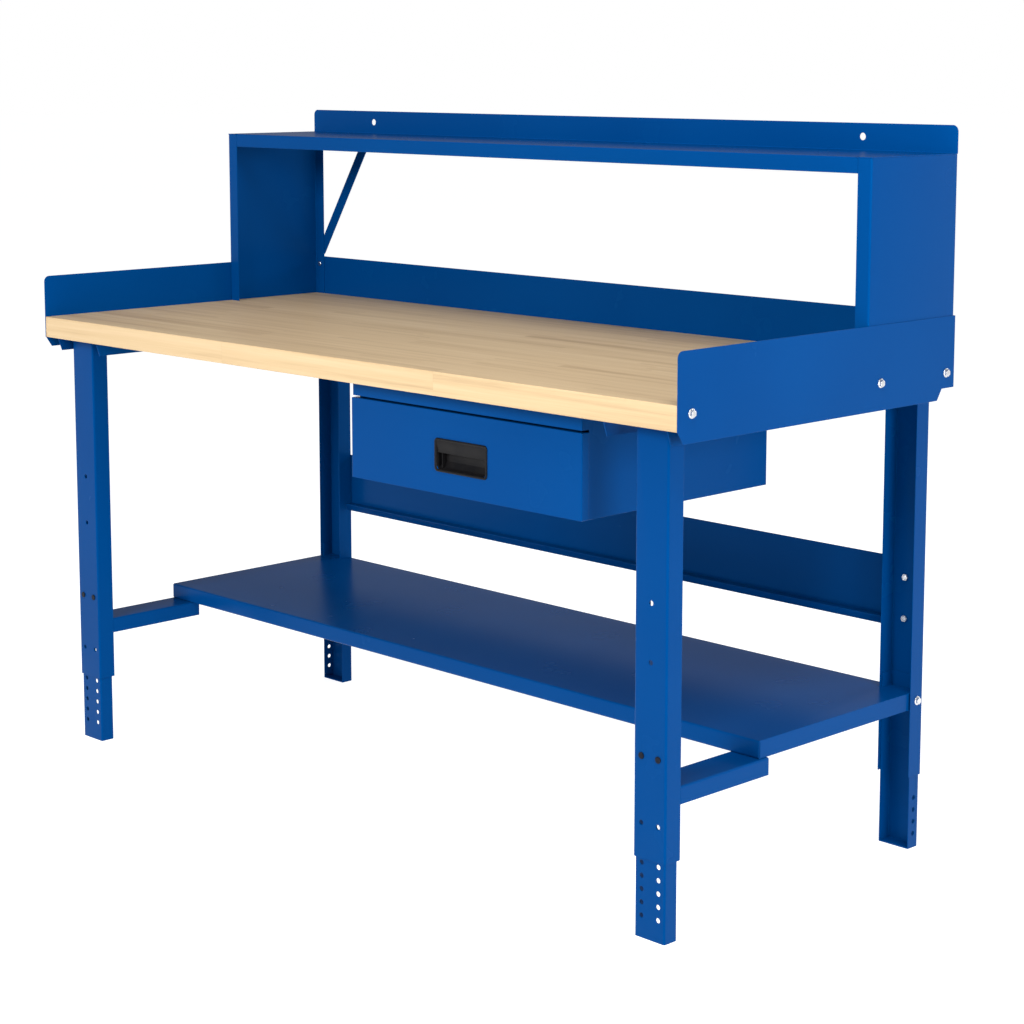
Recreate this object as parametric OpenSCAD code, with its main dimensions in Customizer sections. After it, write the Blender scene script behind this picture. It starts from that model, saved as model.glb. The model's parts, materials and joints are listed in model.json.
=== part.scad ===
// Steel workbench with a maple top, end and back stops, a riser shelf,
// one drawer, a half-depth lower shelf and height-adjustable legs.
// X runs along the bench to its right end, Y from front to back, Z up.
// The origin is on the floor, under the middle of the whole bench.

/* [Worktop] */
// Length of the worktop
top_w = 1829; // [1500:1:2400]
// Depth of the worktop from front to back
top_d = 762; // [630:1:920]
// Thickness of the worktop
top_t = 44.5; // [36:0.5:57]
// Height of the working surface above the floor
work_h = 934; // [750:1:1130]

/* [End and back stops] */
// Rise of the stops above the working surface
stop_h = 88; // [60:1:130]
// Drop of the end stop's tab below the worktop
tab_drop = 21; // [10:1:30]
// Run of the slanted ends of the tab
tab_slant = 14; // [5:1:25]
// Setback of the tab from the front end of the stop
tab_front_gap = 1; // [1:1:20]
// Setback of the tab from the rear end of the stop
tab_rear_gap = 35; // [20:1:60]
// Radius of the rounded corners of the stops and of the riser lip
corner_r = 12; // [4:1:20]
// Thickness of the folded sheet in the stops, riser, shelf and stringer
sheet_t = 1.9; // [1.2:0.1:3]
// Outside radius of the folds in the sheet parts
fold_r = 3.5; // [3.2:0.1:5]
// Distance from the front of the worktop to the first end stop screw
front_screw_in = 34; // [20:1:60]
// Distance from the rear of the worktop to the middle end stop screw
middle_screw_in = 221; // [150:1:400]
// Distance from the rear of the worktop to the last end stop screw
rear_screw_in = 23; // [15:1:40]
// Number of screws in the back stop
back_screws = 5; // [3:1:9]
// Distance from the end of the bench to the first back stop screw
back_screw_in = 150; // [100:1:250]

/* [Riser shelf] */
// Height of the riser deck above the working surface
riser_h = 384; // [300:1:460]
// Depth of the riser from front to back
riser_d = 258; // [200:1:320]
// Height of the rear lip above the deck
lip_h = 51; // [35:1:80]
// Height of the folded front of the deck
fascia_h = 29; // [15:1:45]
// Width of the flanges of the riser sides
side_flange = 30; // [30:1:45]
// Distance between the two holes in the rear lip
lip_hole_span = 1400; // [800:1:1450]
// Diameter of the holes in the rear lip
lip_hole_d = 14; // [6:0.5:20]
// Gap between the folded front of the deck and the riser sides
fascia_gap = 0.5; // [0.3:0.1:2]
// Distance of the riser bolts below the top of the back stop
riser_bolt_drop = 18; // [12:1:40]
// Height of the middle of each brace's foot above the stops
brace_foot_rise = 15; // [13:1:60]
// Distance of the brace's foot from the inner edge of the riser side
brace_foot_in = 9; // [6:1:16]
// Distance of the top of each brace from the end of the bench
brace_reach = 195; // [120:1:300]
// Width of the brace strip
brace_w = 24; // [16:1:24]
// Thickness of the brace strip
brace_t = 3; // [2:0.5:5]

/* [Legs] */
// Width of the leg across its web
leg_w = 73; // [66:1:90]
// Depth of the leg flanges
leg_d = 38; // [34:1:50]
// Thickness of the leg steel
leg_t = 2; // [1.6:0.1:2.4]
// Outside fold radius of the legs
leg_r = 3.5; // [3.2:0.1:5]
// Distance from the worktop's end to the leg
leg_inset = 48.5; // [30:0.5:90]
// Distance from the worktop's front edge to the front legs
leg_setback = 36; // [25:1:80]
// Length of the lower leg that shows under the upper leg
foot_show = 142; // [130:1:150]
// Thickness of the plate under each foot
foot_plate_t = 3; // [2:0.5:6]
// Clearance between the lower leg and the upper leg
leg_gap = 0.3; // [0.2:0.05:0.5]
// How much shallower the lower leg's flanges are
foot_step = 5.5; // [4:0.5:9]
// Distance from one height-setting hole to the next
hole_pitch = 23.5; // [20:0.5:25]
// Height of the lowest pair of holes in the web of the lower leg
first_hole_h = 40; // [30:1:45]
// Height of the lowest side hole in the rear lower legs
first_side_hole_h = 28; // [20:0.5:35]
// Number of hole rows that the lower leg can move up
travel_rows = 4; // [1:1:4]
// Least height of the leg bolts above the lower shelf
clamp_rise = 12.5; // [12:0.5:16]
// Steel left above the slots of the lower leg
leg_edge = 5.5; // [4:0.5:8]
// Number of side holes in each rear lower leg
side_rows = 4; // [1:1:4]
// Diameter of the holes in the legs
leg_hole_d = 9; // [8.5:0.5:11]
// Distance between the two holes of a pair
pair_span = 38; // [30:1:44]
// Height of the lower accessory hole in the front legs
accessory_low_h = 486; // [440:1:540]
// Distance between the two accessory holes
accessory_span = 102; // [60:1:150]

/* [Rails] */
// Depth of the folded sides of the top rail
top_rail_h = 28; // [20:1:45]
// How far the top rail stands outside the leg
top_rail_out = 19; // [8:1:26]
// How far the top rail reaches inside the leg
top_rail_in = 53; // [20:1:70]
// Setback of the top rail from the worktop's front edge
top_rail_setback = 11; // [5:1:20]
// Run of the slanted ends of the top rail
top_rail_slant = 9; // [3:1:15]
// Distance from each leg to the nearest screw of the top rail
rail_screw_in = 40; // [25:1:80]
// Depth of the folded sides of the lower cross rail
cross_rail_h = 32; // [24:1:45]

/* [Lower shelf and stringer] */
// Height of the lower shelf's top face
shelf_h = 305; // [290:1:320]
// Depth of the folded edge of the lower shelf
shelf_edge = 33; // [30:1:36]
// Length of the cross rail between the front leg and the shelf
rail_show = 211; // [80:1:400]
// Width of the return lip under the shelf's front edge
shelf_lip = 24; // [22:1:30]
// How far the cross rail reaches under the shelf
rail_overlap = 22; // [18:1:30]
// Gap between the shelf corner and the leg around it
shelf_gap = 0.6; // [0.5:0.1:1]
// Height of the stringer's lower bolts above the fully raised lower legs
stringer_clear = 11; // [9:1:90]
// Height of the stringer
stringer_h = 131; // [110:1:180]
// Width of the fold under the stringer, between the rear legs
stringer_fold = 22; // [12:1:30]
// Height of the lip at the front of that fold
stringer_lip = 16; // [8:1:20]
// How far the lip slants back at its lower edge
stringer_lip_slant = 7; // [0:1:10]
// Gap between the stringer's fold and the rear legs
stringer_leg_gap = 2; // [1:0.5:6]
// Distance from the lower edge of the stringer to its lower bolts
stringer_low_edge = 15; // [12:1:20]
// Distance from the upper edge of the stringer to its upper bolts
stringer_top_edge = 36; // [20:1:40]
// Distance from the outer side of the leg to the end of the stringer
stringer_end_in = 4; // [2:1:8]
// Distance of the stringer's bolts from the middle of the leg, inwards
stringer_bolt_in = 7; // [0:1:16]

/* [Drawer] */
// Width of the drawer front
drawer_w = 604; // [450:1:700]
// Height of the drawer front
drawer_h = 153; // [130:1:170]
// Depth of the drawer unit from its front face to its rear
drawer_d = 497; // [400:1:560]
// Distance between the drawer's end and the right leg
drawer_leg_gap = 125; // [80:1:300]
// Distance from the worktop's front edge to the drawer front
drawer_setback = 36; // [20:1:80]
// Height of the strip above the drawer front
header_h = 29.5; // [20:0.5:40]
// Gap between the drawer front and the strip above it
drawer_gap = 4; // [2:0.5:6]
// Thickness of the folded drawer front
front_t = 18; // [17:0.5:24]
// Width of the rim folded in at the back of the drawer front
front_rim = 34; // [30:1:40]
// Steel thickness of the drawer parts
drawer_sheet_t = 1.5; // [1:0.1:1.8]
// Gap between the drawer front and the housing's sides
housing_gap = 1.5; // [1:0.5:3]
// Distance of the housing's screws from its sides and ends
housing_screw_in = 50; // [30:1:80]
// Distance of the drawer front's screws from the tray's sides
front_screw_side = 8; // [7.5:0.5:12]
// How far the housing's sides stand in from the ends of the drawer front
housing_inset = 2; // [1:0.5:6]
// Width of the flange folded in along the housing's lower edges
housing_flange = 11; // [6:1:12]
// Height of the drawer tray's walls
tray_h = 120; // [90:1:125]
// Length of the drawer tray
tray_d = 450; // [360:1:455]
// Gap between the drawer tray's bottom and the bottom of the drawer front
tray_lift = 9; // [6:1:14]

/* [Slides] */
// Width taken by one drawer slide
slide_t = 13; // [12.7:0.1:15]
// Height of the fixed member of the slide
slide_h = 45; // [40:1:55]
// Length of each slide member
slide_l = 446; // [350:1:450]
// Steel thickness of the slide members
slide_sheet_t = 1.2; // [1:0.1:1.4]
// Distance of the slides behind the drawer front
slide_setback = 2; // [1:0.5:4]
// Space between the lips of the fixed slide member and the tray
slide_slack = 2.5; // [2:0.1:3]
// Inner fold radius of the slide members
slide_fold = 0.4; // [0.3:0.1:0.8]
// Clearance between slide members
slide_gap = 1; // [0.6:0.1:1.2]

/* [Handle] */
// Width of the recessed handle
handle_w = 138; // [100:1:180]
// Height of the recessed handle
handle_h = 62; // [50:1:75]
// How far the handle's rim stands proud of the drawer front
handle_proud = 2.5; // [1:0.5:4]
// Width of the handle's rim
handle_rim = 5; // [4:0.5:8]
// Corner radius of the handle
handle_r = 8; // [6:0.5:12]
// Depth of the handle's recess behind the drawer front
recess_d = 15; // [12:0.5:15.5]
// Wall thickness of the handle
handle_wall = 2; // [1.5:0.1:3]
// How far the handle sits below the middle of the drawer front
handle_drop = 4; // [0:1:8]
// Height of the grip that covers the top of the recess
grip_h = 22; // [14:1:26]

/* [Fasteners] */
// Shank diameter of the screws, leg bolts and stringer bolts
bolt_d = 8; // [6:0.5:8]
// Shank diameter of the riser and drawer screws
small_bolt_d = 5; // [4:0.5:6]
// Diameter of the flange under a bolt head
bolt_flange_d = 17; // [15:0.5:18]
// Thickness of the flange under a bolt head
bolt_flange_t = 1.5; // [1:0.1:2]
// Width across the corners of a bolt head
bolt_hex = 13.5; // [12:0.5:15]
// Height of a bolt head above its flange
bolt_hex_h = 4; // [3:0.5:5]
// Height of a nut
nut_h = 5; // [4:0.5:5.5]
// Diameter of the heads of the leg bolts
clamp_head_d = 12; // [11.5:0.5:16]
// Height of the heads of the leg bolts
clamp_head_t = 2; // [1.5:0.5:4]
// Diameter of the round heads of the small screws
small_head_d = 11; // [9:0.5:12]
// Height of the round heads of the small screws
small_head_t = 2.5; // [2:0.5:3]
// Width across the corners of a small nut
small_nut_w = 10; // [9:0.5:12]
// Length of a drawer front screw beyond the steel it holds
small_screw_tip = 4; // [3:0.5:6]
// Length of the stop screws in the wood
wood_screw_l = 38; // [28:1:42]
// Depth of the stop screws below the working surface
stop_screw_drop = 16; // [10:0.5:24]
// Wood left above the tips of the top rail's screws
screw_cover = 9; // [6:0.5:14]
// Extra diameter of a hole over its screw
hole_play = 0.4; // [0.2:0.1:0.6]

/* [Hidden] */
$fn = 48;
eps = 1;
merge = 0.01;

blue = [0.02, 0.24, 0.56];
maple = [0.87, 0.72, 0.5];
zinc = [0.78, 0.79, 0.8];
slide_steel = [0.66, 0.68, 0.7];
handle_black = [0.08, 0.08, 0.08];

head_h = bolt_flange_t + bolt_hex_h;
rail_screw_l = leg_t + top_t - screw_cover;
housing_screw_l = drawer_sheet_t + top_t / 2;
x_end = top_w / 2;
y_front = -(top_d + sheet_t + max(head_h, nut_h)) / 2;
y_back = y_front + top_d;
z_under = work_h - top_t;

// Legs
leg_x = x_end - leg_inset - leg_w / 2;
y_leg = y_front + leg_setback;
leg_top = z_under - leg_t;
lower_w = leg_w - 2 * (leg_t + leg_gap);
lower_y = leg_t + leg_gap;
clamp_row = ceil((shelf_h + clamp_rise - first_hole_h) / hole_pitch);
clamp_h = first_hole_h + clamp_row * hole_pitch;
spare_row = clamp_row - travel_rows - 1;
leg_travel = travel_rows * hole_pitch;
lower_l = clamp_h + leg_hole_d / 2 + leg_edge;

// Lower shelf
shelf_low = shelf_h - shelf_edge;
shelf_x = leg_x + lower_w / 2 - leg_t - shelf_gap;
shelf_y0 = y_leg + leg_d + rail_show;
shelf_y1 = y_back - lower_y - leg_t - shelf_gap;
side_bolt_y = (leg_d - foot_step + lower_y) / 2;
side_bolt_h = shelf_h - shelf_edge / 2;

// Stringer
stringer_bolt_low = lower_l + leg_travel + stringer_clear;
stringer_low_h = stringer_bolt_low - stringer_low_edge;
stringer_bolt_high = stringer_low_h + stringer_h - stringer_top_edge;

// Riser
y_riser = y_back - riser_d;
z_deck = work_h + riser_h;
riser_bolt_h = work_h + stop_h - riser_bolt_drop;
riser_bolt_x = x_end - side_flange / 2;
fascia_x = x_end - side_flange - fascia_gap;

// Drawer
drawer_x = leg_x - leg_w / 2 - drawer_leg_gap - drawer_w / 2;
y_drawer = y_front + drawer_setback;
y_tray = y_drawer + front_t;
z_drawer = z_under - header_h - drawer_gap - drawer_h;
z_tray = z_drawer + tray_lift;
housing_w = drawer_w - 2 * housing_inset;
housing_inside = housing_w - 2 * drawer_sheet_t;
tray_w = housing_inside - 2 * slide_t;
slide_z = z_tray + tray_h / 2;
handle_z = z_drawer + drawer_h / 2 - handle_drop;
cup_w = handle_w - 2 * handle_rim;
cup_h = handle_h - 2 * handle_rim;
cup_r = handle_r - handle_wall;

// A block between two opposite corners
module block(low, high) {
  translate(low) cube(high - low);
}

// Square with its two corners on the x axis rounded
module round_base(w, d, r) {
  translate([-w / 2, r]) square([w, d - r]);
  translate([-w / 2 + r, 0]) square([w - 2 * r, r + merge]);
  for (side = [-1, 1]) translate([side * (w / 2 - r), r]) circle(r);
}

// Channel outline: the web lies on the x axis and the flanges point to +y
module channel_2d(w, d, t, r) {
  difference() {
    round_base(w, d, r);
    translate([0, t]) round_base(w - 2 * t, d, r - t);
  }
}

// Quarter of a ring around the origin, in the quadrant that starts at turn
module fold_2d(r, t, turn) {
  rotate(turn) difference() {
    intersection() {
      circle(r);
      square(r);
    }
    circle(r - t);
  }
}

// Rectangle with four rounded corners, centred
module round_rect(w, h, r) {
  square([w - 2 * r, h], center = true);
  square([w, h - 2 * r], center = true);
  for (i = [-1, 1], j = [-1, 1]) translate([i * (w / 2 - r), j * (h / 2 - r)]) circle(r);
}

// What is left of a square corner outside its rounding
module corner_waste(r) {
  difference() {
    square(r + eps);
    circle(r);
  }
}

// Turns an outline drawn in (y, z) into a plate that grows along +x
module along_x(length) {
  rotate([90, 0, 90]) linear_extrude(length) children();
}

// The same thing at the right and at the left of the bench
module both_sides() {
  for (side = [0, 1]) mirror([side, 0, 0]) children();
}

// Turns a part made for the right side into the one for the left
module left() {
  mirror([1, 0, 0]) children();
}

// Puts a leg part in place: its local +x points outwards, +y into the leg
module at_front_leg() {
  translate([leg_x, y_leg, 0]) children();
}

module at_rear_leg() {
  translate([leg_x, y_back, 0]) mirror([0, 1, 0]) children();
}

// Cylinder along +y
module rod_y(d, length) {
  rotate([-90, 0, 0]) cylinder(d = d, h = length);
}

// Cylinder along +x
module rod_x(d, length) {
  rotate([0, 90, 0]) cylinder(d = d, h = length);
}

// Slot with round ends through a wall that faces y, from z = 0 up
module slot_y(d, rise, depth) {
  rod_y(d, depth);
  translate([0, 0, rise]) rod_y(d, depth);
  translate([-d / 2, 0, 0]) cube([d, depth, rise]);
}

// Slot with round ends through a wall that faces x, from z = 0 up
module slot_x(d, rise, depth) {
  rod_x(d, depth);
  translate([0, 0, rise]) rod_x(d, depth);
  translate([0, -d / 2, 0]) cube([depth, d, rise]);
}

// Bolt that points to -z, with the underside of its head at z = 0
module bolt(shank_l) {
  translate([0, 0, -shank_l]) cylinder(d = bolt_d, h = shank_l + bolt_flange_t / 2);
  cylinder(d = bolt_flange_d, h = bolt_flange_t);
  translate([0, 0, bolt_flange_t]) cylinder(d = bolt_hex, h = bolt_hex_h, $fn = 6);
}

// Small round-headed screw that points to -z
module small_screw(shank_l) {
  translate([0, 0, -shank_l]) cylinder(d = small_bolt_d, h = shank_l + small_head_t / 2);
  cylinder(d = small_head_d, h = small_head_t);
}

module nut(inner_d, corner_d) {
  difference() {
    cylinder(d = corner_d, h = nut_h, $fn = 6);
    translate([0, 0, -eps]) cylinder(d = inner_d + hole_play, h = nut_h + 2 * eps);
  }
}

// Places shared by the holes and the fasteners that go through them

module at_end_stop_screws() {
  for (y = [y_front + front_screw_in, y_back - middle_screw_in, y_back - rear_screw_in])
    translate([x_end, y, work_h - stop_screw_drop]) children();
}

module at_back_stop_screws() {
  pitch = 2 * (x_end - back_screw_in) / (back_screws - 1);
  for (i = [0 : back_screws - 1])
    translate([back_screw_in - x_end + i * pitch, y_back, work_h - stop_screw_drop]) children();
}

module at_rail_screws() {
  for (y = [y_leg + leg_d + rail_screw_in, 0, y_back - leg_d - rail_screw_in])
    both_sides() translate([leg_x, y, leg_top]) children();
}

module at_housing_screws() {
  for (side = [-1, 1], y = [y_drawer + housing_screw_in, y_drawer + drawer_d - housing_screw_in])
    translate([drawer_x + side * (housing_w / 2 - housing_screw_in), y, z_under - drawer_sheet_t]) children();
}

module at_riser_bolts() {
  both_sides() translate([riser_bolt_x, 0, riser_bolt_h]) children();
}

module at_stringer_bolts() {
  for (z = [stringer_bolt_low, stringer_bolt_high]) translate([-stringer_bolt_in, 0, z]) children();
}

module at_pair(z) {
  for (x = [-1, 1]) translate([x * pair_span / 2, 0, z]) children();
}

module at_shelf_front_bolts() {
  both_sides() translate([leg_x, shelf_y0 + rail_overlap / 2, shelf_low]) children();
}

module at_front_screws() {
  for (x = [-1, 1], z = [1 / 4, 3 / 4])
    translate([drawer_x + x * (tray_w / 2 - front_screw_side), y_tray, z_tray + z * tray_h]) children();
}

module worktop() {
  color(maple) difference() {
    block([-x_end, y_front, z_under], [x_end, y_back, work_h]);
    both_sides() at_end_stop_screws()
      translate([-wood_screw_l - eps, 0, 0]) rod_x(bolt_d + hole_play, wood_screw_l + 2 * eps);
    at_back_stop_screws()
      translate([0, -wood_screw_l - eps, 0]) rod_y(bolt_d + hole_play, wood_screw_l + 2 * eps);
    at_rail_screws()
      translate([0, 0, leg_t - eps]) cylinder(d = bolt_d + hole_play, h = rail_screw_l - leg_t + 2 * eps);
    at_housing_screws()
      translate([0, 0, drawer_sheet_t - eps])
        cylinder(d = small_bolt_d + hole_play, h = housing_screw_l - drawer_sheet_t + 2 * eps);
  }
}

// Side view of an end stop, with its slanted tab and one rounded corner
module end_stop_outline() {
  difference() {
    polygon([
      [y_front, z_under],
      [y_front + tab_front_gap, z_under],
      [y_front + tab_front_gap + tab_slant, z_under - tab_drop],
      [y_back - tab_rear_gap - tab_slant, z_under - tab_drop],
      [y_back - tab_rear_gap, z_under],
      [y_back + sheet_t, z_under],
      [y_back + sheet_t, work_h + stop_h],
      [y_front, work_h + stop_h]
    ]);
    translate([y_front + corner_r, work_h + stop_h - corner_r]) rotate(90) corner_waste(corner_r);
  }
}

module end_stop() {
  color(blue) difference() {
    translate([x_end, 0, 0]) along_x(sheet_t) end_stop_outline();
    at_end_stop_screws() translate([-eps, 0, 0]) rod_x(bolt_d + hole_play, sheet_t + 2 * eps);
  }
}

module end_stop_right() end_stop();

module end_stop_left() left() end_stop();

module back_stop() {
  color(blue) difference() {
    block([-x_end, y_back, z_under], [x_end, y_back + sheet_t, work_h + stop_h]);
    at_back_stop_screws() translate([0, -eps, 0]) rod_y(bolt_d + hole_play, sheet_t + 2 * eps);
    at_riser_bolts() translate([0, y_back - eps, 0]) rod_y(small_bolt_d + hole_play, sheet_t + 2 * eps);
  }
}

// Channel that stands on the worktop with its flanges turned inwards
module riser_side() {
  color(blue) difference() {
    translate([x_end, (y_riser + y_back) / 2, work_h]) rotate(90)
      linear_extrude(riser_h - sheet_t) channel_2d(riser_d, side_flange, sheet_t, fold_r);
    translate([riser_bolt_x, y_back - sheet_t - eps, riser_bolt_h])
      rod_y(small_bolt_d + hole_play, sheet_t + 2 * eps);
  }
}

module riser_side_right() riser_side();

module riser_side_left() left() riser_side();

// Section of the deck with its rear lip, and with its folded front if asked
module riser_section(with_fascia) {
  y_deck = with_fascia ? y_riser + fold_r : y_riser;
  translate([y_deck, z_deck - sheet_t]) square([y_back - fold_r - y_deck, sheet_t]);
  translate([y_back - fold_r, z_deck - sheet_t + fold_r]) fold_2d(fold_r, sheet_t, -90);
  translate([y_back - sheet_t, z_deck - sheet_t + fold_r]) square([sheet_t, lip_h + sheet_t - fold_r]);
  if (with_fascia) {
    translate([y_riser + fold_r, z_deck - fold_r]) fold_2d(fold_r, sheet_t, 90);
    translate([y_riser, z_deck - fascia_h]) square([sheet_t, fascia_h - fold_r]);
  }
}

module riser_shelf() {
  color(blue) difference() {
    union() {
      translate([-fascia_x, 0, 0]) along_x(2 * fascia_x) riser_section(true);
      both_sides() translate([fascia_x, 0, 0]) along_x(x_end - fascia_x) riser_section(false);
    }
    both_sides() {
      translate([lip_hole_span / 2, y_back - sheet_t - eps, z_deck + lip_h / 2])
        rod_y(lip_hole_d, sheet_t + 2 * eps);
      translate([x_end - corner_r, y_back + eps, z_deck + lip_h - corner_r]) rotate([90, 0, 0])
        linear_extrude(sheet_t + 2 * eps) corner_waste(corner_r);
    }
  }
}

// Flat strip behind a riser side, bent forward into a tab under the deck
module riser_brace() {
  foot = [x_end - side_flange + brace_foot_in, work_h + stop_h + brace_foot_rise];
  head = [x_end - brace_reach, z_deck - sheet_t];
  lean = atan2(head[1] - foot[1], foot[0] - head[0]);
  across = brace_w / 2 * [sin(lean), cos(lean)];
  half_cut = brace_w / 2 / sin(lean);
  color(blue) {
    translate([0, y_back + brace_t, 0]) rotate([90, 0, 0]) linear_extrude(brace_t) {
      polygon([foot + across, head + [half_cut, 0], head - [half_cut, 0], foot - across]);
      translate(foot) circle(brace_w / 2);
    }
    block([head[0] - half_cut, y_back - brace_w, head[1] - brace_t],
          [head[0] + half_cut, y_back + brace_t, head[1]]);
  }
}

module riser_brace_right() riser_brace();

module riser_brace_left() left() riser_brace();

// Channel from the top rail down to where the lower leg shows
module upper_leg() {
  translate([0, 0, foot_show]) linear_extrude(leg_top - foot_show) channel_2d(leg_w, leg_d, leg_t, leg_r);
}

module upper_leg_front() {
  color(blue) at_front_leg() difference() {
    upper_leg();
    translate([0, -eps, 0]) {
      for (row = [clamp_row, spare_row])
        at_pair(first_hole_h + row * hole_pitch) rod_y(leg_hole_d, leg_t + 2 * eps);
      for (z = [0, accessory_span]) translate([0, 0, accessory_low_h + z]) rod_y(leg_hole_d, leg_t + 2 * eps);
    }
  }
}

module upper_leg_rear() {
  color(blue) at_rear_leg() difference() {
    upper_leg();
    at_stringer_bolts() translate([0, -eps, 0]) rod_y(bolt_d + hole_play, leg_t + 2 * eps);
    translate([leg_w / 2 - leg_t - eps, side_bolt_y, side_bolt_h])
      rod_x(bolt_d + hole_play, leg_t + 2 * eps);
  }
}

module upper_leg_front_right() upper_leg_front();

module upper_leg_front_left() left() upper_leg_front();

module upper_leg_rear_right() upper_leg_rear();

module upper_leg_rear_left() left() upper_leg_rear();

// Channel that slides inside the upper leg, with a plate that closes its foot
module lower_leg() {
  depth = leg_d - foot_step - lower_y;
  translate([0, lower_y, 0]) {
    linear_extrude(lower_l) channel_2d(lower_w, depth, leg_t, leg_r - leg_gap);
    linear_extrude(foot_plate_t) round_base(lower_w, depth, leg_r - leg_gap);
  }
}

// The front ones have pairs of holes and two slots for the leg bolts
module lower_leg_front() {
  color(blue) at_front_leg() difference() {
    lower_leg();
    translate([0, lower_y - eps, 0]) {
      for (row = [0 : spare_row]) at_pair(first_hole_h + row * hole_pitch) rod_y(leg_hole_d, leg_t + 2 * eps);
      at_pair(clamp_h - leg_travel) slot_y(leg_hole_d, leg_travel, leg_t + 2 * eps);
    }
  }
}

// The rear ones have side holes and one slot for the lower shelf's bolt
module lower_leg_rear() {
  color(blue) at_rear_leg() difference() {
    lower_leg();
    translate([lower_w / 2 - leg_t - eps, side_bolt_y, 0]) {
      for (row = [0 : side_rows - 1]) translate([0, 0, first_side_hole_h + row * hole_pitch])
        rod_x(leg_hole_d, leg_t + 2 * eps);
      translate([0, 0, side_bolt_h - leg_travel]) slot_x(leg_hole_d, leg_travel, leg_t + 2 * eps);
    }
  }
}

module lower_leg_front_right() lower_leg_front();

module lower_leg_front_left() left() lower_leg_front();

module lower_leg_rear_right() lower_leg_rear();

module lower_leg_rear_left() left() lower_leg_rear();

// Folded side of the top rail, with slanted ends
module top_rail_side() {
  y0 = y_front + top_rail_setback;
  low = z_under - top_rail_h;
  along_x(leg_t) polygon([
    [y0, z_under - leg_t],
    [y0 + top_rail_slant, low],
    [y_back - top_rail_slant, low],
    [y_back, z_under - leg_t]
  ]);
}

module top_rail() {
  x_in = leg_x - leg_w / 2 - top_rail_in;
  x_out = leg_x + leg_w / 2 + top_rail_out;
  color(blue) difference() {
    union() {
      block([x_in, y_front + top_rail_setback, z_under - leg_t], [x_out, y_back, z_under]);
      translate([x_in, 0, 0]) top_rail_side();
      translate([x_out - leg_t, 0, 0]) top_rail_side();
    }
    at_rail_screws() translate([0, 0, -eps]) cylinder(d = bolt_d + hole_play, h = leg_t + 2 * eps);
  }
}

module top_rail_right() top_rail();

module top_rail_left() left() top_rail();

// Channel from a front leg to the underside of the lower shelf
module cross_rail() {
  y0 = y_leg + leg_d;
  y1 = shelf_y0 + rail_overlap;
  color(blue) difference() {
    translate([leg_x, y1, shelf_low]) rotate([90, 0, 0])
      linear_extrude(y1 - y0) mirror([0, 1]) channel_2d(leg_w, cross_rail_h, leg_t, leg_r);
    at_shelf_front_bolts() translate([0, 0, -leg_t - eps])
      cylinder(d = bolt_d + hole_play, h = leg_t + 2 * eps);
  }
}

module cross_rail_right() cross_rail();

module cross_rail_left() left() cross_rail();

// Section of the lower shelf from its front lip to its rear edge
module shelf_section() {
  y_in = shelf_y0 + fold_r;
  translate([y_in, shelf_h - sheet_t]) square([shelf_y1 - fold_r - y_in, sheet_t]);
  translate([y_in, shelf_h - fold_r]) fold_2d(fold_r, sheet_t, 90);
  translate([shelf_y0, shelf_low + fold_r]) square([sheet_t, shelf_edge - 2 * fold_r]);
  translate([y_in, shelf_low + fold_r]) fold_2d(fold_r, sheet_t, 180);
  translate([y_in, shelf_low]) square([shelf_lip - fold_r, sheet_t]);
  translate([shelf_y1 - fold_r, shelf_h - fold_r]) fold_2d(fold_r, sheet_t, 0);
  translate([shelf_y1 - sheet_t, shelf_low]) square([sheet_t, shelf_edge - fold_r]);
}

// Folded pan whose rear corners pass into the rear legs
module lower_shelf() {
  notch_x0 = leg_x - leg_w / 2 - eps;
  notch_x1 = leg_x - lower_w / 2 + leg_t + shelf_gap;
  color(blue) difference() {
    union() {
      translate([-shelf_x, 0, 0]) along_x(2 * shelf_x) shelf_section();
      both_sides() block([shelf_x - sheet_t, shelf_y0 + fold_r, shelf_low],
                         [shelf_x, shelf_y1 - fold_r, shelf_h - sheet_t / 2]);
    }
    both_sides() {
      block([notch_x0, y_back - leg_d - eps, shelf_low - eps], [notch_x1, y_back, shelf_h + eps]);
      translate([shelf_x - sheet_t - eps, y_back - side_bolt_y, side_bolt_h])
        rod_x(bolt_d + hole_play, sheet_t + 2 * eps);
    }
    at_shelf_front_bolts() translate([0, 0, -eps]) cylinder(d = bolt_d + hole_play, h = sheet_t + 2 * eps);
  }
}

// Section of the fold and the slanted lip along the stringer's lower edge
module stringer_fold_section() {
  y_lip = y_back - stringer_fold;
  z_fold = stringer_low_h + stringer_lip;
  translate([y_lip, z_fold - sheet_t]) square([stringer_fold + sheet_t, sheet_t]);
  polygon([
    [y_lip, z_fold],
    [y_lip + sheet_t, z_fold],
    [y_lip + sheet_t + stringer_lip_slant, stringer_low_h],
    [y_lip + stringer_lip_slant, stringer_low_h]
  ]);
}

// Plate across the rear legs; its fold is cut short between them
module stringer() {
  fold_x = leg_x - leg_w / 2 - stringer_leg_gap;
  web_x = leg_x + leg_w / 2 - stringer_end_in;
  z_fold = stringer_low_h + stringer_lip - sheet_t;
  z_top = stringer_low_h + stringer_h;
  color(blue) difference() {
    union() {
      block([-web_x, y_back, z_fold], [web_x, y_back + sheet_t, z_top]);
      both_sides() block([fold_x, y_back, stringer_low_h], [web_x, y_back + sheet_t, z_top]);
      translate([-fold_x, 0, 0]) along_x(2 * fold_x) stringer_fold_section();
    }
    both_sides() at_rear_leg() at_stringer_bolts()
      translate([0, -sheet_t - eps, 0]) rod_y(bolt_d + hole_play, sheet_t + 2 * eps);
  }
}

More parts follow.
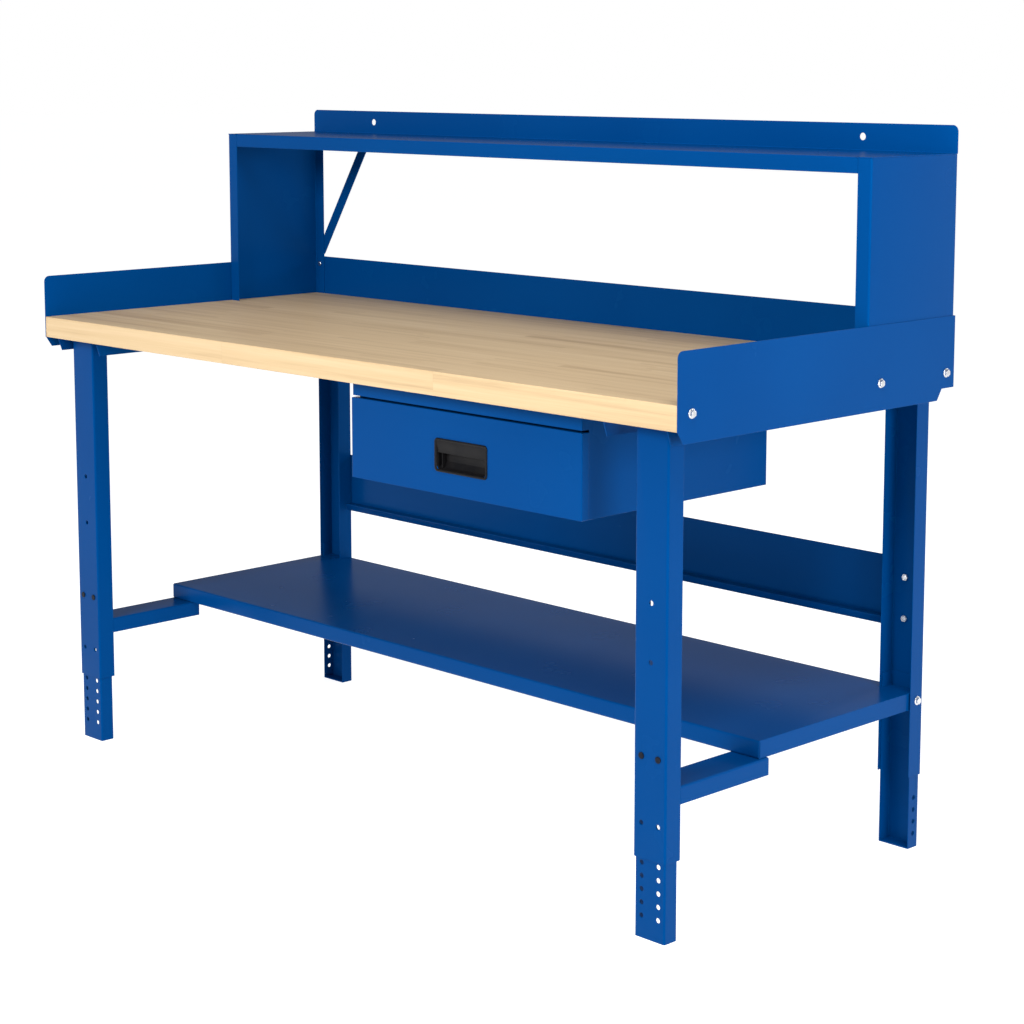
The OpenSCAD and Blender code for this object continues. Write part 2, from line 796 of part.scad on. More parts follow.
// Open-bottomed case under the worktop, with a strip above the drawer front
module drawer_housing() {
  x0 = drawer_x - housing_w / 2;
  x1 = drawer_x + housing_w / 2;
  y0 = y_tray + housing_gap;
  y1 = y_drawer + drawer_d;
  y_header = y_drawer + drawer_gap / 2;
  z_header = z_under - header_h;
  t = drawer_sheet_t;
  color(blue) difference() {
    union() {
      block([x0, y_header, z_under - t], [x1, y1, z_under]);
      block([x0, y_header, z_header], [x1, y_header + t, z_under]);
      block([x0, y1 - t, z_drawer], [x1, y1, z_under]);
      for (x = [x0, x1 - t]) {
        block([x, y_header, z_header], [x + t, y1, z_under]);
        block([x, y0, z_drawer], [x + t, y1, z_under]);
      }
      for (x = [x0, x1 - housing_flange]) block([x, y0, z_drawer], [x + housing_flange, y1, z_drawer + t]);
    }
    at_housing_screws() translate([0, 0, -eps]) cylinder(d = small_bolt_d + hole_play, h = t + 2 * eps);
  }
}

// Slide members: their local x runs from the housing wall towards the drawer
module at_right_slide() {
  translate([drawer_x + housing_inside / 2, y_tray + slide_setback, slide_z]) mirror([1, 0, 0]) children();
}

module at_left_slide() {
  translate([drawer_x - housing_inside / 2, y_tray + slide_setback, slide_z]) children();
}

// Channel along +y with its web at x = 0 and its lips to x = depth
module slide_channel(height, depth) {
  t = slide_sheet_t;
  rotate([-90, 0, 0]) linear_extrude(slide_l) rotate(-90) channel_2d(height, depth, t, t + slide_fold);
}

module slide_outer() {
  color(slide_steel) slide_channel(slide_h, slide_t - slide_slack);
}

module slide_middle() {
  offset_x = slide_sheet_t + slide_gap;
  color(slide_steel) translate([offset_x, 0, 0])
    slide_channel(slide_h - 2 * (slide_sheet_t + slide_gap), slide_t - slide_slack - offset_x);
}

module slide_inner() {
  color(slide_steel) translate([slide_t, 0, 0]) mirror([1, 0, 0])
    slide_channel(slide_h - 4 * (slide_sheet_t + slide_gap), slide_t - 2 * (slide_sheet_t + slide_gap));
}

module slide_outer_right() at_right_slide() slide_outer();

module slide_outer_left() at_left_slide() slide_outer();

module slide_middle_right() at_right_slide() slide_middle();

module slide_middle_left() at_left_slide() slide_middle();

module slide_inner_right() at_right_slide() slide_inner();

module slide_inner_left() at_left_slide() slide_inner();

// Open box with a floor and four walls
module drawer_tray() {
  t = drawer_sheet_t;
  x0 = drawer_x - tray_w / 2;
  x1 = drawer_x + tray_w / 2;
  color(blue) difference() {
    block([x0, y_tray, z_tray], [x1, y_tray + tray_d, z_tray + tray_h]);
    block([x0 + t, y_tray + t, z_tray + t], [x1 - t, y_tray + tray_d - t, z_tray + tray_h + eps]);
    at_front_screws() translate([0, -eps, 0]) rod_y(small_bolt_d + hole_play, t + 2 * eps);
  }
}

// Folded pan: skin, four returns and a rim that the tray is screwed to
module drawer_front() {
  t = drawer_sheet_t;
  x0 = drawer_x - drawer_w / 2;
  x1 = drawer_x + drawer_w / 2;
  z1 = z_drawer + drawer_h;
  color(blue) difference() {
    block([x0, y_drawer, z_drawer], [x1, y_tray, z1]);
    block([x0 + t, y_drawer + t, z_drawer + t], [x1 - t, y_tray - t, z1 - t]);
    block([x0 + front_rim, y_tray - t - eps, z_drawer + front_rim],
          [x1 - front_rim, y_tray + eps, z1 - front_rim]);
    translate([drawer_x, y_drawer - eps, handle_z]) rotate([-90, 0, 0])
      linear_extrude(t + 2 * eps) round_rect(cup_w + hole_play, cup_h + hole_play, cup_r);
    at_front_screws() translate([0, -t - eps, 0]) rod_y(small_bolt_d + hole_play, t + 2 * eps);
  }
}

// Cup with a rim on the drawer front and a grip over the top of its recess
module drawer_handle() {
  inside_w = cup_w - 2 * handle_wall;
  inside_h = cup_h - 2 * handle_wall;
  mouth_h = inside_h - grip_h;
  color(handle_black) translate([drawer_x, y_drawer, handle_z]) difference() {
    union() {
      rotate([90, 0, 0]) linear_extrude(handle_proud) round_rect(handle_w, handle_h, handle_r);
      rotate([-90, 0, 0]) linear_extrude(recess_d) round_rect(cup_w, cup_h, cup_r);
    }
    block([-inside_w / 2, -handle_proud + handle_wall, -inside_h / 2],
          [inside_w / 2, recess_d - handle_wall, inside_h / 2]);
    block([-inside_w / 2, -handle_proud - eps, -inside_h / 2],
          [inside_w / 2, 0, -inside_h / 2 + mouth_h]);
  }
}

module end_stop_screws() {
  color(zinc) both_sides() at_end_stop_screws()
    translate([sheet_t, 0, 0]) rotate([0, 90, 0]) bolt(wood_screw_l + sheet_t);
}

module back_stop_screws() {
  color(zinc) at_back_stop_screws()
    translate([0, sheet_t, 0]) rotate([-90, 0, 0]) bolt(wood_screw_l + sheet_t);
}

module riser_bolts() {
  color(zinc) at_riser_bolts() translate([0, y_back - sheet_t, 0]) rotate([90, 0, 0])
    small_screw(2 * sheet_t + nut_h);
}

module riser_nuts() {
  color(zinc) at_riser_bolts() translate([0, y_back + sheet_t, 0]) rotate([-90, 0, 0])
    nut(small_bolt_d, small_nut_w);
}

// Low dark heads outside the leg, shanks through the slots of the lower leg
module leg_bolts() {
  shank_l = lower_y + leg_t + leg_gap + nut_h;
  color(handle_black) both_sides() at_front_leg() at_pair(clamp_h) {
    translate([0, -clamp_head_t, 0]) rod_y(clamp_head_d, clamp_head_t);
    translate([0, -clamp_head_t / 2, 0]) rod_y(bolt_d, shank_l + clamp_head_t / 2);
  }
}

module leg_nuts() {
  color(zinc) both_sides() at_front_leg() at_pair(clamp_h)
    translate([0, lower_y + leg_t + leg_gap, 0]) rotate([-90, 0, 0]) nut(bolt_d, bolt_hex);
}

module stringer_bolts() {
  color(zinc) both_sides() at_rear_leg() at_stringer_bolts()
    translate([0, -sheet_t, 0]) rotate([90, 0, 0]) bolt(sheet_t + leg_t + nut_h);
}

module stringer_nuts() {
  color(zinc) both_sides() at_rear_leg() at_stringer_bolts()
    translate([0, leg_t, 0]) rotate([-90, 0, 0]) nut(bolt_d, bolt_hex);
}

module at_shelf_rear_bolts() {
  both_sides() translate([0, y_back - side_bolt_y, side_bolt_h]) children();
}

module shelf_bolts() {
  rear_shank = leg_x + leg_w / 2 - shelf_x + sheet_t + nut_h;
  color(zinc) {
    at_shelf_rear_bolts() translate([leg_x + leg_w / 2, 0, 0]) rotate([0, 90, 0]) bolt(rear_shank);
    at_shelf_front_bolts() translate([0, 0, -leg_t]) rotate([180, 0, 0]) bolt(leg_t + sheet_t + nut_h);
  }
}

module shelf_nuts() {
  color(zinc) {
    at_shelf_rear_bolts() translate([shelf_x - sheet_t - nut_h, 0, 0]) rotate([0, 90, 0])
      nut(bolt_d, bolt_hex);
    at_shelf_front_bolts() translate([0, 0, sheet_t]) nut(bolt_d, bolt_hex);
  }
}

module rail_screws() {
  color(zinc) at_rail_screws() rotate([180, 0, 0]) bolt(rail_screw_l);
}

module housing_screws() {
  color(zinc) at_housing_screws() rotate([180, 0, 0]) small_screw(housing_screw_l);
}

module drawer_front_screws() {
  color(zinc) at_front_screws()
    translate([0, drawer_sheet_t, 0]) rotate([-90, 0, 0]) small_screw(2 * drawer_sheet_t + small_screw_tip);
}

worktop();
end_stop_left();
end_stop_right();
back_stop();
riser_side_left();
riser_side_right();
riser_shelf();
riser_brace_left();
riser_brace_right();
upper_leg_front_left();
upper_leg_front_right();
upper_leg_rear_left();
upper_leg_rear_right();
lower_leg_front_left();
lower_leg_front_right();
lower_leg_rear_left();
lower_leg_rear_right();
top_rail_left();
top_rail_right();
cross_rail_left();
cross_rail_right();
lower_shelf();
stringer();
drawer_housing();
slide_outer_left();
slide_outer_right();
slide_middle_left();
slide_middle_right();
slide_inner_left();
slide_inner_right();
drawer_tray();
drawer_front();
drawer_handle();
end_stop_screws();
back_stop_screws();
riser_bolts();
riser_nuts();
leg_bolts();
leg_nuts();
stringer_bolts();
stringer_nuts();
shelf_bolts();
shelf_nuts();
rail_screws();
housing_screws();
drawer_front_screws();
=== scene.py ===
import json
import math

import bmesh
import bpy
from mathutils import Matrix, Vector


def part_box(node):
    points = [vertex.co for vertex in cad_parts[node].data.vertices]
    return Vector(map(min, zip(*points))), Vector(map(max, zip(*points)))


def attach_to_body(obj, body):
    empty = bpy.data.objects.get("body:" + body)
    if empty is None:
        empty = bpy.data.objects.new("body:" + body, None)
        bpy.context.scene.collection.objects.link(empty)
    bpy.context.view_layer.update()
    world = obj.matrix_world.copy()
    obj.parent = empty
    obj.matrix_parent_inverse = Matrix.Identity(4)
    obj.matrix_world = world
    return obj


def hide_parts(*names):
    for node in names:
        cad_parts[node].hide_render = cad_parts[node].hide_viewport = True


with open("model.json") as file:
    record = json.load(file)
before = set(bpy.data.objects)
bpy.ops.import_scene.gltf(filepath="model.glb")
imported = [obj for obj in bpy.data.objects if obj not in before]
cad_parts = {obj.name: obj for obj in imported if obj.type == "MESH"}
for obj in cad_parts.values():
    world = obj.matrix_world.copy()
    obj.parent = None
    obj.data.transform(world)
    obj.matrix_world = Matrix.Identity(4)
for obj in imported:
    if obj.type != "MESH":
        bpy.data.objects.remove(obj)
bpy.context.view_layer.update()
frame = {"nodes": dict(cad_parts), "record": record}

scene = bpy.context.scene
nodeBody = {n: body for body, nodes in frame["record"]["behaviour"]["bodies"].items() for n in nodes}

# turn: degrees round to the bench's right, tilt: degrees looking down
cameraSettings = {"lens": 81.28, "turn": 45.64, "tilt": 7.833, "distance": 4.604,
                  "sideways": 0.1012, "height": 1.4861, "shiftUp": -0.1309, "sensor": 36, "farthest": 200}


def addCamera(s):
    turn, tilt = math.radians(s["turn"]), math.radians(s["tilt"])
    topLow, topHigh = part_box("worktop")
    middle = Vector((0, (topLow.y + topHigh.y) / 2, s["height"]))
    away = Vector((math.sin(turn), -math.cos(turn), 0))
    side = Vector((math.cos(turn), math.sin(turn), 0))
    data = bpy.data.cameras.new("bench_camera")
    data.sensor_width = s["sensor"]
    data.lens = s["lens"]
    data.shift_y = s["shiftUp"]
    data.clip_end = s["farthest"]
    cam = bpy.data.objects.new("bench_camera", data)
    cam.location = middle + away * s["distance"] + side * s["sideways"]
    cam.rotation_euler = (math.pi / 2 - tilt, 0, turn)
    scene.collection.objects.link(cam)
    scene.camera = cam


addCamera(cameraSettings)
print("camera set")


def newMaterial(name, base, roughness, metallic=0.0):
    mat = bpy.data.materials.new(name)
    mat.use_nodes = True
    shader = mat.node_tree.nodes["Principled BSDF"]
    shader.inputs["Base Color"].default_value = (*base, 1)
    shader.inputs["Roughness"].default_value = roughness
    shader.inputs["Metallic"].default_value = metallic
    return mat, mat.node_tree, shader


def place(tree, kind, **inputs):
    item = tree.nodes.new(kind)
    for key, value in inputs.items():
        if key in item.inputs:
            item.inputs[key].default_value = value
        else:
            setattr(item, key, value)
    return item


def objectPoint(tree, scale=(1, 1, 1)):
    coord = place(tree, "ShaderNodeTexCoord")
    mapping = place(tree, "ShaderNodeMapping", Scale=scale)
    tree.links.new(coord.outputs["Object"], mapping.inputs["Vector"])
    return mapping.outputs["Vector"]


def noise(tree, vector, scale, detail=3.0, rough=0.5):
    item = place(tree, "ShaderNodeTexNoise", Scale=scale, Detail=detail, Roughness=rough)
    tree.links.new(vector, item.inputs["Vector"])
    return item.outputs["Fac"]


def ramp(tree, value, stops):
    stops = list(stops)
    item = tree.nodes.new("ShaderNodeValToRGB")
    band = item.color_ramp
    while len(band.elements) < len(stops):
        band.elements.new(0.5)
    for element, (spot, colour) in zip(band.elements, stops):
        element.position = spot
        element.color = (*colour, 1)
    tree.links.new(value, item.inputs["Fac"])
    return item.outputs["Color"]


def rescale(tree, value, low, high):
    item = place(tree, "ShaderNodeMapRange")
    item.inputs["To Min"].default_value = low
    item.inputs["To Max"].default_value = high
    tree.links.new(value, item.inputs["Value"])
    return item.outputs["Result"]


def calc(tree, operation, a, b=None):
    item = place(tree, "ShaderNodeMath", operation=operation)
    for slot, value in zip(item.inputs, (a, b)):
        if value is None:
            continue
        if isinstance(value, (int, float)):
            slot.default_value = value
        else:
            tree.links.new(value, slot)
    return item.outputs[0]


def blendColours(tree, fac, a, b):
    item = place(tree, "ShaderNodeMix", data_type="RGBA")
    for slot, value in ((item.inputs[0], fac), (item.inputs[6], a), (item.inputs[7], b)):
        if isinstance(value, (int, float)):
            slot.default_value = value
        elif isinstance(value, tuple):
            slot.default_value = (*value, 1)
        else:
            tree.links.new(value, slot)
    return item.outputs[2]


def addBump(tree, shader, height, strength, depth):
    item = place(tree, "ShaderNodeBump", Strength=strength, Distance=depth)
    tree.links.new(height, item.inputs["Height"])
    tree.links.new(item.outputs["Normal"], shader.inputs["Normal"])


# Gloss powder coat: a faint orange peel, with the colour and gloss drifting a little
powderCoat = {"deep": (0.0, 0.039, 0.164), "bright": (0.0, 0.044, 0.180), "colourScale": 2.6,
              "gloss": (0.22, 0.30), "glossScale": 9.0, "shine": 0.075, "shineTint": (0.0, 0.42, 1.0),
              "peelScale": 420.0, "peelDepth": 0.00012, "peelStrength": 0.18}


def makePowderCoat(s):
    mat, tree, shader = newMaterial("blue_powder_coat", s["bright"], s["gloss"][0])
    point = objectPoint(tree)
    drift = noise(tree, point, s["colourScale"], 2.0)
    tree.links.new(ramp(tree, drift, [(0.3, s["deep"]), (0.7, s["bright"])]), shader.inputs["Base Color"])
    cloud = noise(tree, point, s["glossScale"])
    tree.links.new(rescale(tree, cloud, *s["gloss"]), shader.inputs["Roughness"])
    peel = noise(tree, point, s["peelScale"], 2.0, 0.4)
    addBump(tree, shader, peel, s["peelStrength"], s["peelDepth"])
    shader.inputs["Specular IOR Level"].default_value = s["shine"]
    shader.inputs["Specular Tint"].default_value = (*s["shineTint"], 1)
    return mat


# Edge-glued maple planks along the bench, sealed with oil
mapleSettings = {"plank": 0.0442, "stick": 0.62, "light": (0.55, 0.405, 0.232),
                 "middle": (0.505, 0.360, 0.196), "dark": (0.385, 0.262, 0.136),
                 "colourStops": (0.40, 0.56, 0.74), "seam": (0.27, 0.18, 0.10), "seamWidth": 0.012,
                 "buttWidth": 0.00084, "seamStrength": 0.16, "gloss": (0.36, 0.50),
                 "poreStrength": 0.10, "poreDepth": 0.0004}
# Grain: stretch along and across the stick, jumps from one stick to the next, share of each layer
# broad, fine: scale, detail and roughness of the streaks
grainSettings = {"along": 0.9, "across": 34.0, "jumpAlong": 31.0, "jumpUp": 17.0,
                 "fineStretch": (5.0, 9.0, 9.0), "broad": (1.3, 4.0, 0.55), "fine": (1.6, 3.0, 0.6),
                 "broadShare": 0.74, "fineShare": 0.28, "toneShare": 0.09}


def joinNumbers(tree, *values):
    item = place(tree, "ShaderNodeCombineXYZ")
    for slot, value in zip(item.inputs, values):
        tree.links.new(value, slot)
    return item.outputs[0]


# Long streaks that start afresh in every stick, broad and fine
def makeGrain(tree, g, x, y, z, tone):
    def stretched(value, factor, jump):
        return calc(tree, "ADD", calc(tree, "MULTIPLY", value, factor), calc(tree, "MULTIPLY", tone, jump))

    point = joinNumbers(tree, stretched(x, g["along"], g["jumpAlong"]),
                        calc(tree, "MULTIPLY", y, g["across"]), stretched(z, g["across"], g["jumpUp"]))
    finePoint = place(tree, "ShaderNodeVectorMath", operation="MULTIPLY")
    finePoint.inputs[1].default_value = g["fineStretch"]
    tree.links.new(point, finePoint.inputs[0])
    return noise(tree, point, *g["broad"]), noise(tree, finePoint.outputs[0], *g["fine"])


def makeMaple(s, g):
    mat, tree, shader = newMaterial("oiled_maple", s["middle"], s["gloss"][0])
    coord = place(tree, "ShaderNodeTexCoord")
    split = place(tree, "ShaderNodeSeparateXYZ")
    tree.links.new(coord.outputs["Object"], split.inputs[0])
    x, y, z = split.outputs[0], split.outputs[1], split.outputs[2]
    across = calc(tree, "DIVIDE", y, s["plank"])
    plank = calc(tree, "FLOOR", across)
    rowNoise = place(tree, "ShaderNodeTexWhiteNoise", noise_dimensions="1D")
    tree.links.new(plank, rowNoise.inputs["W"])
    along = calc(tree, "ADD", calc(tree, "DIVIDE", x, s["stick"]), rowNoise.outputs["Value"])
    stickNoise = place(tree, "ShaderNodeTexWhiteNoise", noise_dimensions="3D")
    tree.links.new(joinNumbers(tree, plank, calc(tree, "FLOOR", along)), stickNoise.inputs["Vector"])
    tone = stickNoise.outputs["Value"]
    broad, fine = makeGrain(tree, g, x, y, z, tone)
    streak = calc(tree, "ADD", calc(tree, "MULTIPLY", broad, g["broadShare"]),
                  calc(tree, "MULTIPLY", fine, g["fineShare"]))
    value = calc(tree, "ADD", calc(tree, "MULTIPLY", tone, g["toneShare"]), streak)
    wood = ramp(tree, value, zip(s["colourStops"], (s["light"], s["middle"], s["dark"])))
    # glue lines between planks and where sticks butt
    seamA = calc(tree, "LESS_THAN", calc(tree, "PINGPONG", across, 0.5), s["seamWidth"])
    seamB = calc(tree, "LESS_THAN", calc(tree, "PINGPONG", along, 0.5), s["buttWidth"])
    seam = calc(tree, "MULTIPLY", calc(tree, "MAXIMUM", seamA, seamB), s["seamStrength"])
    tree.links.new(blendColours(tree, seam, wood, s["seam"]), shader.inputs["Base Color"])
    tree.links.new(rescale(tree, fine, *s["gloss"]), shader.inputs["Roughness"])
    addBump(tree, shader, fine, s["poreStrength"], s["poreDepth"])
    return mat


# Metals: cloudy tone, uneven gloss and fine scratches; stretch below 1 draws them out upwards
metalScales = {"cloud": 160.0, "gloss": 900.0, "scratch": 1400.0, "scratchStrength": 0.12,
               "scratchDepth": 0.0001}
zincSettings = {"pale": (0.80, 0.81, 0.82), "grey": (0.60, 0.61, 0.63), "gloss": (0.20, 0.34), "stretch": 1.0}
blackSteelSettings = {"pale": (0.022, 0.024, 0.034), "grey": (0.010, 0.011, 0.017), "gloss": (0.36, 0.5),
                      "stretch": 1.0}
slideSteelSettings = {"pale": (0.62, 0.64, 0.66), "grey": (0.46, 0.48, 0.50), "gloss": (0.26, 0.4),
                      "stretch": 0.05}


def makeMetal(name, s, m):
    mat, tree, shader = newMaterial(name, s["pale"], s["gloss"][0], 1.0)
    point = objectPoint(tree, (1, 1, s["stretch"]))
    cloud = noise(tree, point, m["cloud"], 4.0)
    tree.links.new(ramp(tree, cloud, [(0.3, s["grey"]), (0.7, s["pale"])]), shader.inputs["Base Color"])
    sheen = noise(tree, point, m["gloss"], 2.0)
    tree.links.new(rescale(tree, sheen, *s["gloss"]), shader.inputs["Roughness"])
    addBump(tree, shader, noise(tree, point, m["scratch"], 2.0), m["scratchStrength"], m["scratchDepth"])
    return mat


# Black moulded plastic with a spark-eroded grain
plasticSettings = {"black": (0.004, 0.004, 0.005), "worn": (0.009, 0.008, 0.008), "wornScale": 30.0,
                   "gloss": (0.28, 0.40), "glossScale": 120.0, "shine": 0.12,
                   "grainScale": 2200.0, "grainStrength": 0.2, "grainDepth": 0.0001}


def makePlastic(s):
    mat, tree, shader = newMaterial("black_moulded_plastic", s["black"], s["gloss"][0])
    point = objectPoint(tree)
    wear = noise(tree, point, s["wornScale"])
    tree.links.new(ramp(tree, wear, [(0.35, s["black"]), (0.8, s["worn"])]), shader.inputs["Base Color"])
    sheen = noise(tree, point, s["glossScale"])
    tree.links.new(rescale(tree, sheen, *s["gloss"]), shader.inputs["Roughness"])
    addBump(tree, shader, noise(tree, point, s["grainScale"], 2.0), s["grainStrength"], s["grainDepth"])
    shader.inputs["Specular IOR Level"].default_value = s["shine"]
    return mat


bluePaint = makePowderCoat(powderCoat)
maple = makeMaple(mapleSettings, grainSettings)
zinc = makeMetal("bright_zinc", zincSettings, metalScales)
blackSteel = makeMetal("black_oxide_steel", blackSteelSettings, metalScales)
slideSteel = makeMetal("rolled_slide_steel", slideSteelSettings, metalScales)
blackPlastic = makePlastic(plasticSettings)
print("finishes made")


def attach(piece, node, material):
    piece.data.materials.clear()
    piece.data.materials.append(material)
    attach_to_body(piece, nodeBody[node])
    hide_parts(node)


def newPiece(name, mesh):
    data = bpy.data.meshes.new(name)
    bmesh.ops.recalc_face_normals(mesh, faces=mesh.faces)
    mesh.to_mesh(data)
    mesh.free()
    piece = bpy.data.objects.new(name, data)
    scene.collection.objects.link(piece)
    return piece


def bakeModifiers(piece):
    graph = bpy.context.evaluated_depsgraph_get()
    data = bpy.data.meshes.new_from_object(piece.evaluated_get(graph))
    piece.modifiers.clear()
    piece.data = data
    return piece


# weld: corners this near are one, flat: turn still taken as one face, fold: turn taken as a sharp edge
easing = {"weld": 0.00002, "flat": math.radians(1), "fold": math.radians(24), "nearBox": 0.0001}


# Takes the CAD solid and eases every sharp edge, the outer corners of its box by more
def easedCopy(node, edge, corner=None, steps=2):
    mesh = bmesh.new()
    mesh.from_mesh(frame["nodes"][node].data)
    bmesh.ops.remove_doubles(mesh, verts=mesh.verts, dist=easing["weld"])
    bmesh.ops.dissolve_limit(mesh, angle_limit=easing["flat"], verts=mesh.verts, edges=mesh.edges)
    low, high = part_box(node)
    widest = corner or edge
    weight = mesh.edges.layers.float.new("bevel_weight_edge")

    def facesOfBox(point):
        return sum(min(abs(point[i] - low[i]), abs(point[i] - high[i])) < easing["nearBox"] for i in range(3))

    for e in mesh.edges:
        if len(e.link_faces) != 2 or e.calc_face_angle(0) < easing["fold"]:
            continue
        outer = corner and facesOfBox((e.verts[0].co + e.verts[1].co) / 2) >= 2
        e[weight] = 1.0 if outer else edge / widest
    piece = newPiece(node + "_piece", mesh)
    bevel = piece.modifiers.new("eased", "BEVEL")
    bevel.limit_method = "WEIGHT"
    bevel.width = widest
    bevel.segments = steps
    bevel.use_clamp_overlap = False
    bevel.harden_normals = True
    for face in piece.data.polygons:
        face.use_smooth = True
    piece.data.set_sharp_from_angle(angle=easing["fold"])
    return bakeModifiers(piece)


# edge: easing of the cut edges
legEdges = {"edge": 0.0006, "nodes": [f"{part}_leg_{row}_{side}" for part in ("upper", "lower")
                                      for row in ("front", "rear") for side in ("left", "right")]}
sheetEdges = {"edge": 0.0005, "nodes": ["end_stop_left", "end_stop_right", "back_stop", "riser_side_left",
                                        "riser_side_right", "riser_shelf", "riser_brace_left",
                                        "riser_brace_right", "lower_shelf", "stringer", "cross_rail_left",
                                        "cross_rail_right", "top_rail_left", "top_rail_right"]}
# edge easing, then the radius of the outer folds that the CAD leaves square
drawerEdges = {"drawer_front": (0.0004, 0.0016), "drawer_housing": (0.0004, 0.0012),
               "drawer_tray": (0.0004, 0.0012)}
worktopEdges = {"edge": 0.0004, "corner": 0.0018, "steps": 3}

for node in legEdges["nodes"]:
    attach(easedCopy(node, legEdges["edge"]), node, bluePaint)
for node in sheetEdges["nodes"]:
    attach(easedCopy(node, sheetEdges["edge"]), node, bluePaint)
for node, (edge, corner) in drawerEdges.items():
    attach(easedCopy(node, edge, corner), node, bluePaint)
print("painted pieces made")

attach(easedCopy("worktop", **worktopEdges), "worktop", maple)

slideEdges = {"edge": 0.0002, "nodes": [f"slide_{part}_{side}" for part in ("outer", "middle", "inner")
                                        for side in ("left", "right")]}
for node in slideEdges["nodes"]:
    attach(easedCopy(node, slideEdges["edge"]), node, slideSteel)
fastenerEdges = {"end_stop_screws": 0.0006, "back_stop_screws": 0.0006, "riser_bolts": 0.0009,
                 "riser_nuts": 0.0004, "leg_nuts": 0.0005, "stringer_bolts": 0.0006, "stringer_nuts": 0.0005,
                 "shelf_bolts": 0.0006, "shelf_nuts": 0.0005, "rail_screws": 0.0006, "housing_screws": 0.0007,
                 "drawer_front_screws": 0.0006, "leg_bolts": 0.0009}
for node, edge in fastenerEdges.items():
    finish, slot = (blackSteel, "dark_steel") if node == "leg_bolts" else (zinc, "zinc")
    attach(easedCopy(node, edge, steps=3), node, finish)
print("slides and fasteners made")


# Rings of the cup from its back, round the rim and down into the recess: (inset, depth behind the front)
# grip, rib and scoop: outlines of the plate over the recess, the rib in it and its sloping floor
handleSettings = {"corner": 0.008, "leastCorner": 0.0026, "arcSteps": 8, "softTurn": math.radians(38),
                  "rings": [(0.0052, 0.0150), (0.0050, 0.0146), (0.0050, 0.0002), (0.0, 0.0002),
                            (0.0, -0.0012), (0.0003, -0.0019), (0.0009, -0.0024), (0.0016, -0.0025),
                            (0.0030, -0.0025), (0.0037, -0.0023), (0.0042, -0.0018), (0.0046, -0.0008),
                            (0.0062, 0.0085), (0.0074, 0.0116), (0.0100, 0.0130)],
                  "sideWall": 0.0045, "topWall": 0.0043, "gripReach": 0.0225, "gripThick": 0.0026,
                  "gripStart": -0.0012, "gripBow": 0.0022, "gripSteps": 8, "gripBackUp": 0.0012,
                  "gripRoll": [(0.0022, -0.0006), (0.0036, 0.0002)],
                  "rib": [(-0.0010, 0.0128), (-0.0008, 0.0030), (0.0, 0.0022), (0.0008, 0.0030),
                          (0.0012, 0.0128)],
                  "ribFromLeft": 0.0165, "ribFoot": 0.0075, "ribUnderGrip": 0.002, "scoopGap": 0.001,
                  "scoop": [(0.0, 0.0044), (0.0045, 0.0052), (0.0100, 0.0105), (0.0132, 0.0190),
                            (0.0138, 0.0060)]}


def roundRing(halfW, halfH, radius, steps):
    ring = []
    for quarter, (sx, sz) in enumerate(((1, 1), (-1, 1), (-1, -1), (1, -1))):
        for i in range(steps + 1):
            turn = math.pi / 2 * (quarter + i / steps)
            ring.append((sx * (halfW - radius) + radius * math.cos(turn),
                         sz * (halfH - radius) + radius * math.sin(turn)))
    return ring


def loft(mesh, rings):
    rows = [[mesh.verts.new(p) for p in ring] for ring in rings]
    for a, b in zip(rows, rows[1:]):
        for i in range(len(a)):
            j = (i + 1) % len(a)
            mesh.faces.new((a[i], a[j], b[j], b[i]))
    mesh.faces.new(rows[0])
    mesh.faces.new(rows[-1])


def gripOutline(s, top):
    count = s["gripSteps"]
    face = [(s["gripStart"] + s["gripBow"] * math.sin(i / count * math.pi / 2) ** 2,
             top - s["gripReach"] * i / count) for i in range(count + 1)]
    roll = [(y, top - s["gripReach"] + z) for y, z in s["gripRoll"]]
    return face + roll + [(y + s["gripThick"], z + s["gripBackUp"]) for y, z in reversed(face)]


def makeHandle(s):
    low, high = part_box("drawer_handle")
    frontLow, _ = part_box("drawer_front")
    middle = Vector(((low.x + high.x) / 2, frontLow.y, (low.z + high.z) / 2))
    halfW, halfH = (high.x - low.x) / 2, (high.z - low.z) / 2
    mesh = bmesh.new()

    def lengthwise(outline, half):
        loft(mesh, [[middle + Vector((sx * half, y, z)) for y, z in outline] for sx in (-1, 1)])

    rings = []
    for inset, depth in s["rings"]:
        radius = max(s["corner"] - inset, s["leastCorner"])
        flat = roundRing(halfW - inset, halfH - inset, radius, s["arcSteps"])
        rings.append([middle + Vector((x, depth, z)) for x, z in flat])
    loft(mesh, rings)
    inner, top = halfW - s["sideWall"], halfH - s["topWall"]
    lengthwise(gripOutline(s, top), inner)
    ribX = s["ribFromLeft"] - halfW
    ribEnds = (s["ribFoot"] - halfH, top - s["gripReach"] + s["ribUnderGrip"])
    loft(mesh, [[middle + Vector((ribX + x, y, z)) for x, y in s["rib"]] for z in ribEnds])
    lengthwise([(y, z - halfH) for y, z in s["scoop"]], inner - s["scoopGap"])
    piece = newPiece("drawer_handle_piece", mesh)
    for face in piece.data.polygons:
        face.use_smooth = True
    piece.data.set_sharp_from_angle(angle=s["softTurn"])
    return piece


attach(makeHandle(handleSettings), "drawer_handle", blackPlastic)
print("handle made")


# The camera sees a white room; the bench is lit and mirrored by a dimmer one
roomSettings = {"white": (1.0, 1.0, 1.0), "dim": (0.28, 0.29, 0.31)}
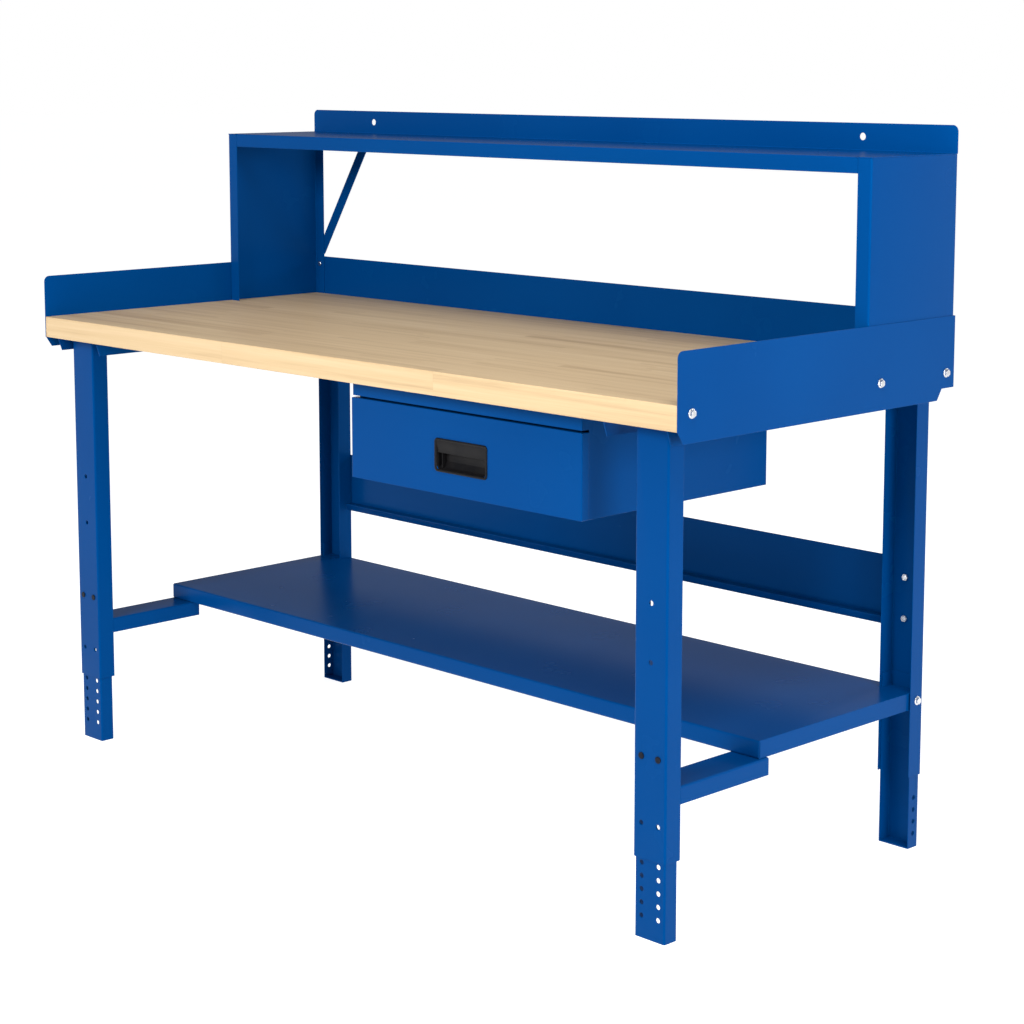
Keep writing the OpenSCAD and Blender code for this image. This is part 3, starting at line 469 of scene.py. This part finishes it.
# Each softbox: where it stands, what it faces, its width, height and power
softboxes = {"front": ((0.3, -4.6, 2.9), (0.2, 0.0, 0.8), 2.2, 1.6, 235),
             "overhead": ((1.7, -1.0, 3.3), (0.8, 0.0, 0.9), 1.5, 1.2, 60),
             "right": ((3.9, -0.7, 1.3), (0.5, 0.0, 0.7), 1.2, 1.4, 92),
             "back": ((1.8, 4.8, 2.4), (0.0, 0.4, 0.8), 2.0, 1.4, 80)}
floorSettings = {"radius": 60, "segments": 96, "tone": ((0.49, 0.49, 0.49), (0.51, 0.51, 0.51)),
                 "toneScale": 0.4, "roughness": 0.9, "glow": 0.86}


def makeRoom(s):
    world = bpy.data.worlds.new("studio")
    scene.world = world
    world.use_nodes = True
    tree = world.node_tree
    rays = place(tree, "ShaderNodeLightPath")
    colour = blendColours(tree, rays.outputs["Is Camera Ray"], s["dim"], s["white"])
    tree.links.new(colour, tree.nodes["Background"].inputs["Color"])


def addSoftbox(name, spot, aim, width, height, power):
    data = bpy.data.lights.new(name, "AREA")
    data.shape = "RECTANGLE"
    data.size, data.size_y, data.energy = width, height, power
    lamp = bpy.data.objects.new(name, data)
    lamp.location = spot
    lamp.rotation_euler = (Vector(aim) - Vector(spot)).to_track_quat("-Z", "Y").to_euler()
    scene.collection.objects.link(lamp)


def addFloor(s):
    mesh = bmesh.new()
    bmesh.ops.create_circle(mesh, cap_ends=True, segments=s["segments"], radius=s["radius"])
    piece = newPiece("pale_floor", mesh)
    mat, tree, shader = newMaterial("pale_floor", s["tone"][1], s["roughness"])
    tone = noise(tree, objectPoint(tree), s["toneScale"], 2.0)
    tree.links.new(ramp(tree, tone, [(0.3, s["tone"][0]), (0.7, s["tone"][1])]), shader.inputs["Base Color"])
    shader.inputs["Specular IOR Level"].default_value = 0.0
    shader.inputs["Emission Color"].default_value = (1, 1, 1, 1)
    shader.inputs["Emission Strength"].default_value = s["glow"]
    piece.data.materials.append(mat)


makeRoom(roomSettings)
addFloor(floorSettings)
for name, (spot, aim, width, height, power) in softboxes.items():
    addSoftbox(name, spot, aim, width, height, power)
scene.view_settings.view_transform = "Standard"
print("studio set")
